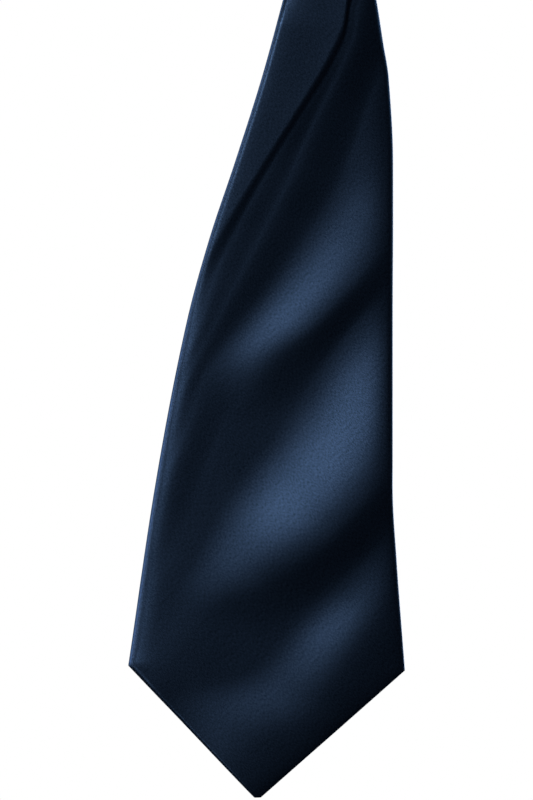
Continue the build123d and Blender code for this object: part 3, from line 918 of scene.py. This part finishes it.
def neck_side(name, side):
    """Round from a piecing seam, then narrower and turning down into the knot. side is -1 or 1."""
    mirror = np.array([side, 1, 1] * 3 + [1, 1])
    loop_angles = [*np.linspace(PIECING + SPARE_ANGLE, 66, 12), 62, 54, 46]
    loop = [loop_station(side * angle) for angle in loop_angles]
    strand = [list(np.array(key) * mirror) for key in STRAND_KEYS]
    return folded_band(name, stations_through(loop + strand, 124), slant=(-BIAS, 0.0), ripple=RIPPLE)


NECK_SIDES = (
    ("neckband_blade_side_satin", -1, ("neckband_blade_side", "blade_side_strand")),
    ("neckband_tail_side_satin", 1, ("neckband_tail_side", "tail_side_strand")),
)
for name, side, nodes in NECK_SIDES:
    piece = neck_side(name, side)
    finish_folded(piece, NAVY_SATIN, (84, 150), 0.95, "neckband_interlining_wool", *nodes)
    start = np.array(loop_station(side * BEND_ANGLE)[:3]) * MM
    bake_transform(piece)

# %% Gusset and wool
WOOL_INSET, WOOL_STACK = 1.6, 1.6
gusset_ends = (PIECING - SPARE_ANGLE, 360 - PIECING + SPARE_ANGLE)
gusset_stations = stations_through([loop_station(angle) for angle in np.linspace(*gusset_ends, 19)], 120)
gusset = folded_band("neckband_gusset_satin", gusset_stations, slant=(BIAS, -BIAS), ripple=RIPPLE)
finish_folded(gusset, NAVY_SATIN, (84, 135), 0.95, "neckband_interlining_wool", "neckband_gusset")
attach(gusset, "neck_loop")

wool_angles = np.linspace(STRAND + 4, 356 - STRAND, 22)
wool_keys = [loop_station(angle, BAND_HEIGHT - 2 * WOOL_INSET, WOOL_STACK) for angle in wool_angles]
neck_wool = folded_band("neckband_interlining_wool", stations_through(wool_keys, 120), columns=10)
finish_folded(neck_wool, WOOL, (62, 310), 1.0, "neckband_gusset_satin", "neckband_interlining")
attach(neck_wool, "neck_loop")


# %% Neckband sewing
STITCH_SLANT = 0.8
PIECING_ROWS, PIECING_MARGIN = 15, 5
PIECING_SUNK = 0.12
DEGREES_PER_MM = 0.9


def loop_spot(angle, level, inside):
    """A place on the band's face, with its direction round the loop and its outward direction."""
    station = np.array(loop_station(angle))
    out = unit(station[6:9]) * (-1 if inside else 1)
    round_loop = unit(np.cross(station[3:6], station[6:9]))
    return station[:3] + unit(station[3:6]) * level + out * BAND_STACK / 2, round_loop, out


neck_spots = []
for angle in range(51, 310, 5):
    middle, direction, out = loop_spot(angle, 0, True)
    neck_spots.append((middle, direction + LOOP_UP * STITCH_SLANT, out))
neck_stitches = sew("neckband_slip_stitches", neck_spots, nodes=["neckband_slip_stitch"])
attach(neck_stitches, "neck_loop")

piecing_spots = []
for side in (-1, 1):
    for row in range(PIECING_ROWS):
        level = (row / (PIECING_ROWS - 1) - 0.5) * (BAND_HEIGHT - PIECING_MARGIN)
        slanted = side * (PIECING + BIAS * level * DEGREES_PER_MM)
        middle, direction, out = loop_spot(slanted, level, False)
        piecing_spots.append((middle - out * PIECING_SUNK, direction, out))
piecing = sew("piecing_seam_stitches", piecing_spots, 1.5, 0.3, ["piecing_seams"])
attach(piecing, "neck_loop")

# %% [markdown]
# ## The knot
#
# A four-in-hand knot is the blade wrapped once right round the tail, then brought up behind, over
# the top and down through the front wrap. The wrap is tight at the bottom, rolls in at both ends, and
# is pulled into slanting creases.

# %% Knot wrap
KNOT_LOW, KNOT_HIGH = (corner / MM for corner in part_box("knot_wrap"))
KNOT_Y = (KNOT_LOW.y + KNOT_HIGH.y) / 2
WRAP_PROFILE = [
    (9.0, -2.0), (4.0, -2.0), (1.0, -1.7), (0.0, -0.8), (0.9, 0.0), (5.0, 0.3),
    (20.0, 0.4), (36.0, 0.4), (39.5, 0.2), (41.2, -0.7), (42.0, -2.2), (40.6, -3.4), (34.0, -3.8),
]
WRAP_AROUND, WRAP_ROWS = 128, 72
WRAP_TOP = 42.0
WRAP_THICKNESS = 0.6
BOTTOM_HALF_X, BOTTOM_HALF_Y = 18.4, 12.7
WIDER_ABOVE, DEEPER_ABOVE, WAIST = 4.2, 0.3, 1.2
CORNER_POWER = 0.62


def round_the_knot(across):
    """The turn in radians. Both ends of the cloth meet behind."""
    return -math.pi * 1.5 + across * 2 * math.pi


def knot_section(turn, half_x, half_y):
    """A rectangle with soft corners, as x and y."""
    cos, sin = np.cos(turn), np.sin(turn)
    x = half_x * np.sign(cos) * np.abs(cos) ** CORNER_POWER
    y = half_y * np.sign(sin) * np.abs(sin) ** CORNER_POWER
    return x, y


def wrap_crease(turn, height):
    """Slanting creases, deepest on the front, that die out round the back."""
    front = np.clip(-np.sin(turn), 0, 1)
    slanted = height + 9.5 * np.cos(turn) + 1.6 * np.sin(2 * turn)
    fold = 0.55 * np.sin(slanted * 0.42) + 0.28 * np.sin(slanted * 0.86 + 1.1)
    return fold * (0.25 + 0.75 * front)


def wrap_place(across, down):
    turn = round_the_knot(across)
    keys = np.linspace(0, 1, len(WRAP_PROFILE))
    heights, insets = zip(*WRAP_PROFILE)
    height = float(smooth_through(list(zip(keys, heights)), 1 - down))
    inset = float(smooth_through(list(zip(keys, insets)), 1 - down))
    rise = np.clip(height / WRAP_TOP, 0, 1)
    half_x = BOTTOM_HALF_X + WIDER_ABOVE * rise - WAIST * math.sin(math.pi * rise)
    half_y = BOTTOM_HALF_Y + DEEPER_ABOVE * rise
    x, y = knot_section(turn, half_x, half_y)
    out = unit(np.stack([np.cos(turn) / half_x, np.sin(turn) / half_y], axis=-1))
    grown = inset + wrap_crease(turn, height) * np.clip(inset + 1.0, 0, 1)
    # The cloth winds slightly downhill, towards +X.
    slope = -0.09 * x * (1 - 0.7 * rise) - 0.05 * x * rise
    z = KNOT_LOW.z + height + slope
    return np.stack([x + out[..., 0] * grown, KNOT_Y + y + out[..., 1] * grown, z], axis=-1)


def close_round(cloth):
    """Joins the two ends of a sheet that goes right round."""
    select_only(cloth)
    bpy.ops.object.mode_set(mode="EDIT")
    bpy.ops.mesh.select_all(action="SELECT")
    bpy.ops.mesh.remove_doubles(threshold=1e-6)
    bpy.ops.object.mode_set(mode="OBJECT")


wrap = sheet_from_grid("knot_wrap_satin", WRAP_AROUND, WRAP_ROWS, wrap_place)
close_round(wrap)
thicken(wrap, WRAP_THICKNESS)
finish_folded(wrap, NAVY_SATIN, (125, 62), 0.9, "knot_wrap_interlining_wool", "knot_wrap")
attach(wrap, "knot")


# %% Knot lining
KNOT_WOOL = 0.7
WOOL_BOTTOM, WOOL_HEIGHT = 9.5, 28.5
WOOL_INSET_X, WOOL_INSET_Y = 2.6, 1.9
WOOL_SLOPE = 0.06


def knot_lining_place(across, down):
    height = WOOL_BOTTOM + WOOL_HEIGHT * (1 - down)
    half_x = BOTTOM_HALF_X + WIDER_ABOVE * height / WRAP_TOP - WOOL_INSET_X
    half_y = BOTTOM_HALF_Y + DEEPER_ABOVE * height / WRAP_TOP - WOOL_INSET_Y
    x, y = knot_section(round_the_knot(across), half_x, half_y)
    return np.stack([x, KNOT_Y + y, KNOT_LOW.z + height - WOOL_SLOPE * x], axis=-1)


knot_wool = sheet_from_grid("knot_wrap_interlining_wool", 96, 24, knot_lining_place)
close_round(knot_wool)
thicken(knot_wool, KNOT_WOOL)
finish_folded(knot_wool, WOOL, (105, 29), 1.0, "knot_wrap_satin", "knot_wrap_interlining")
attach(knot_wool, "knot")


# %% [markdown]
# ## Inside the knot
#
# Three bands fill the wrap: the cloth that comes up behind and over the top, the first turn that the
# wrap hides, and the tail on its way down through the back.

# %% Inside the knot
SIDEWAYS = (1, 0, 0)


def knot_band(name, points, count, node, flat, columns=20, crown=0.0):
    """A band inside the knot, from given stations. Each is a middle (y, z), an outward
    direction (y, z), a width and a thickness."""
    rows = [[0, *middle, *SIDEWAYS, 0, *out, width, stack] for middle, out, width, stack in points]
    band = folded_band(name, stations_through(rows, count), columns=columns, ripple=0.1, crown=crown)
    finish_folded(band, NAVY_SATIN, flat, 1.0, "knot_wrap_satin", node)
    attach(band, "knot")


knot_band(
    "knot_bridge_satin",
    [
        ((-70.6, -48), (1, 0), 19, 1.6),
        ((-70.3, -38), (1, 0), 20, 1.8),
        ((-70.8, -31), (1, 0.3), 21, 2.4),
        ((-73.4, -27.0), (0.5, 1), 23, 3.0),
        ((-78.4, -25.4), (0, 1), 27, 3.4),
        ((-83.6, -26.6), (-0.5, 1), 31, 3.4),
        ((-87.2, -30.6), (-1, 0.5), 33, 3.0),
        ((-88.0, -38), (-1, 0), 33, 2.4),
        ((-87.2, -52), (-1, 0), 31, 2.2),
    ],
    44, "knot_bridge", (64, 64), crown=0.012,
)
knot_band(
    "knot_first_turn_satin",
    [
        ((-78.6, -42.5), (-1, 0), 27, 3.6),
        ((-78.4, -55), (-1, 0), 28, 4.0),
        ((-78.6, -67.5), (-1, 0), 27, 3.6),
    ],
    20, "knot_first_turn", (66, 26),
)
knot_band(
    "tail_run_satin",
    [((-73.9, -36), (1, 0), 26, 2.9), ((-73.6, -54), (1, 0), 26, 3.0), ((-73.6, -73), (1, 0), 26.5, 3.2)],
    24, "tail_run", (64, 38),
)

# %% [markdown]
# ## The tail
#
# The narrow end hangs behind the blade, through the keeper. It is made in three lengths: the root
# that leaves the knot, a strand below it that goes with the front blade, and the pointed end.

# %% Tail strand
TAIL_LOW, TAIL_HIGH = (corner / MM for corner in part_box("tail_shell"))
TAIL_Y = (TAIL_LOW.y + TAIL_HIGH.y) / 2
TAIL_STACK = TAIL_HIGH.y - TAIL_LOW.y
TAIL_TOP = 112.0
ROOT_END, ROOT_END_Y = 33.5, -75.9


def tail_station(depth, width, y, stack):
    """A station on the tail's leaning axis, at a depth below the mouth."""
    side, level = axis_point(0, depth)
    return [side, y, MOUTH_Z - level, *ACROSS, 0, -1, 0.12, width, stack]


def tail_band(name, keys, count):
    """A band of the tail, from (depth, width, y, thickness) keys."""
    stations = stations_through([tail_station(*key) for key in keys], count)
    return folded_band(name, stations, ripple=RIPPLE)


root_keys = [(-9, 20, -73.6, 1.6), (-2, 21, -73.6, 1.7), (6, 25, -73.7, 2.6), (20, 27, -74.4, 2.7)]
root_keys.append((34, 28, ROOT_END_Y, 2.7))
tail_root = tail_band("tail_root_satin", root_keys, 48)
finish_folded(tail_root, NAVY_SATIN, (62, 44), 1.0, "knot_wrap_satin")
bend_at_mouth(tail_root)

strand_keys = [(ROOT_END, 28, ROOT_END_Y, 2.7)]
strand_keys += [(60, 29.5, -78.6, 3.0), (86, 32, -79.2, 3.0), (112.4, 34, -79.2, 3.0)]
tail_strand = tail_band("tail_strand_satin", strand_keys, 60)
finish_folded(tail_strand, NAVY_SATIN, (68, 80), 1.0, "keeper_loop_satin", "tail_strand")
anchor_side, anchor_level = axis_point(0, ROOT_END)
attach(tail_strand, "front_blade")
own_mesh(tail_strand)


# %% Tail end
TAIL_TIP, TAIL_TACK = 215.0, 167.0
TAIL_HALF, TAIL_TOP_HALF = 20.5, 17.0
TAIL_BLUNT, TAIL_CLEAR = 0.9, 0.4
TAIL_SWELL = 0.12
TAIL_COLUMNS = 40
TAIL_CORNER = TAIL_TIP - TAIL_HALF
TAIL_POINT_START = 0.78
TAIL_HEM = 9.5


def tail_spot(across, depth, backward):
    """A place on the tail, from its leaning axis."""
    side, level = axis_point(across, depth)
    swell = TAIL_SWELL * np.sin(depth * 0.11 + across * 0.08)
    return np.stack([side, TAIL_Y + backward + swell, MOUTH_Z - level], axis=-1)


def tail_half(down):
    """Half the width and the depth, for a share of the way down the tail."""
    if down <= TAIL_POINT_START:
        t = down / TAIL_POINT_START
        half = TAIL_TOP_HALF + (TAIL_HALF - TAIL_TOP_HALF) * t
        return half, TAIL_TOP + (TAIL_CORNER - TAIL_TOP) * t
    t = (down - TAIL_POINT_START) / (1 - TAIL_POINT_START)
    half = TAIL_HALF + (TAIL_BLUNT - TAIL_HALF) * t
    return half, TAIL_CORNER + (TAIL_TIP - TAIL_CLEAR - TAIL_CORNER) * t


def tail_place(_across, down):
    half, depth = tail_half(down)
    t = np.clip((depth - TAIL_TACK) / (TAIL_CORNER - TAIL_TACK), 0, 1)
    reach = min(half, half + (TAIL_HEM - half) * t)
    section = folded_section(2 * half, reach, reach, TAIL_STACK - 0.2, TAIL_COLUMNS)
    return tail_spot(section[:, 0] - half, np.full(len(section), depth), section[:, 1])


tail_shell = sheet_from_grid("tail_shell_satin", section_columns(TAIL_COLUMNS), 90, tail_place)
thicken(tail_shell, CLOTH)
finish_folded(tail_shell, NAVY_SATIN, (88, 104), 0.85, "keeper_loop_satin", "tail_shell")
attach(tail_shell, "tail")


# %% Inside and sewing of the tail
TAIL_WOOL = 1.2
LEAST_HALF = 0.3


def tail_inner(top, bottom, inset, backward):
    """A sheet inside the tail, between two shares of the way down."""
    def place(across, down):
        half, depth = tail_half(top + (bottom - top) * down)
        inner = max(half - inset, LEAST_HALF)
        return tail_spot((across - 0.5) * 2 * inner, np.full(len(across), depth), backward)
    return place


tail_wool_place = tail_inner(top=0.02, bottom=0.96, inset=2.0, backward=-0.8)
tail_wool = sheet_from_grid("tail_interlining_wool", 20, 50, tail_wool_place)
thicken(tail_wool, TAIL_WOOL)
finish_folded(tail_wool, WOOL, (38, 98), 0.8, "tail_tipping_twill", "tail_interlining")
tail_tipping_place = tail_inner(top=0.5, bottom=0.94, inset=2.4, backward=0.6)
tail_tipping = sheet_from_grid("tail_tipping_twill", 20, 24, tail_tipping_place)
tail_tipping.data.flip_normals()
thicken(tail_tipping, TWILL)
finish_folded(tail_tipping, LINING, (38, 48), 0.72, "tail_interlining_wool", "tail_tipping")
tail_back = TAIL_STACK / 2 - 0.1
tail_seam = [
    (tail_spot(0.0, TAIL_TACK - STITCH_PITCH * k, tail_back), SLANT, BACKWARD) for k in range(1, 9)
]
tail_stitches = sew("tail_slip_stitches", tail_seam, nodes=["tail_slip_stitch"])
tail_bar = [
    (tail_spot(-2.4 + 0.44 * k, TAIL_TACK, tail_back), NEARLY_ALONG, BACKWARD) for k in range(12)
]
tail_tack = sew("tail_bar_tack_thread", tail_bar, 2.2, 0.45, ["tail_bar_tack"])
for piece in (tail_wool, tail_tipping, tail_stitches, tail_tack):
    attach(piece, "tail")


# %% [markdown]
# ## The keeper
#
# A narrow tube of the same satin crosses the back of the blade. Its two ends are sewn down, and the
# tail hangs through it.

# %% Keeper loop
KEEPER_MIDDLE, KEEPER_WIDTH = 104.5, 8.6
KEEPER_STACK = 1.1
KEEPER_OUT = -76.9
KEEPER_HALF = [(0.0, 1.0), (10.0, 1.0), (20.4, 1.0), (22.2, 0.8), (23.2, 0.3), (24.6, 0.0), (27.2, 0.0)]
KEEPER_PATH = [(-across, rise) for across, rise in KEEPER_HALF[:0:-1]] + KEEPER_HALF
SIDE_LEAN = 1.2
FOOT_ACROSS, FOOT_PITCH, FOOT_PROUD = 25.6, 1.36, 1.05


def keeper_station(across, rise):
    """A station across the blade's back. rise goes from 0, sewn down, to 1, outside the tail."""
    side, level = axis_point(across, KEEPER_MIDDLE)
    foot_y = float(blade_spot(side, level, (STACK + KEEPER_STACK) / 2)[1])
    y = foot_y + (KEEPER_OUT - foot_y) * rise
    lean = math.copysign(SIDE_LEAN, across) if 0.1 < rise < 0.95 else 0.0
    return [side, y, MOUTH_Z - level, *UP_AXIS, lean, 1, 0, KEEPER_WIDTH, KEEPER_STACK]


keeper_stations = stations_through([keeper_station(*point) for point in KEEPER_PATH], 70)
keeper = folded_band("keeper_loop_satin", keeper_stations, columns=12)
finish_folded(keeper, NAVY_SATIN, (21, 64), 1.0, "blade_shell_satin", "keeper_loop")
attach(keeper, "front_blade")
foot_spots = [
    (on_blade_back(end * FOOT_ACROSS, KEEPER_MIDDLE + FOOT_PITCH * (k - 2.5), FOOT_PROUD), ACROSS, BACKWARD)
    for end in (-1, 1)
    for k in range(6)
]
keeper_stitches = sew("keeper_stitches", foot_spots, 1.8, 0.4)
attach(keeper_stitches, "front_blade")
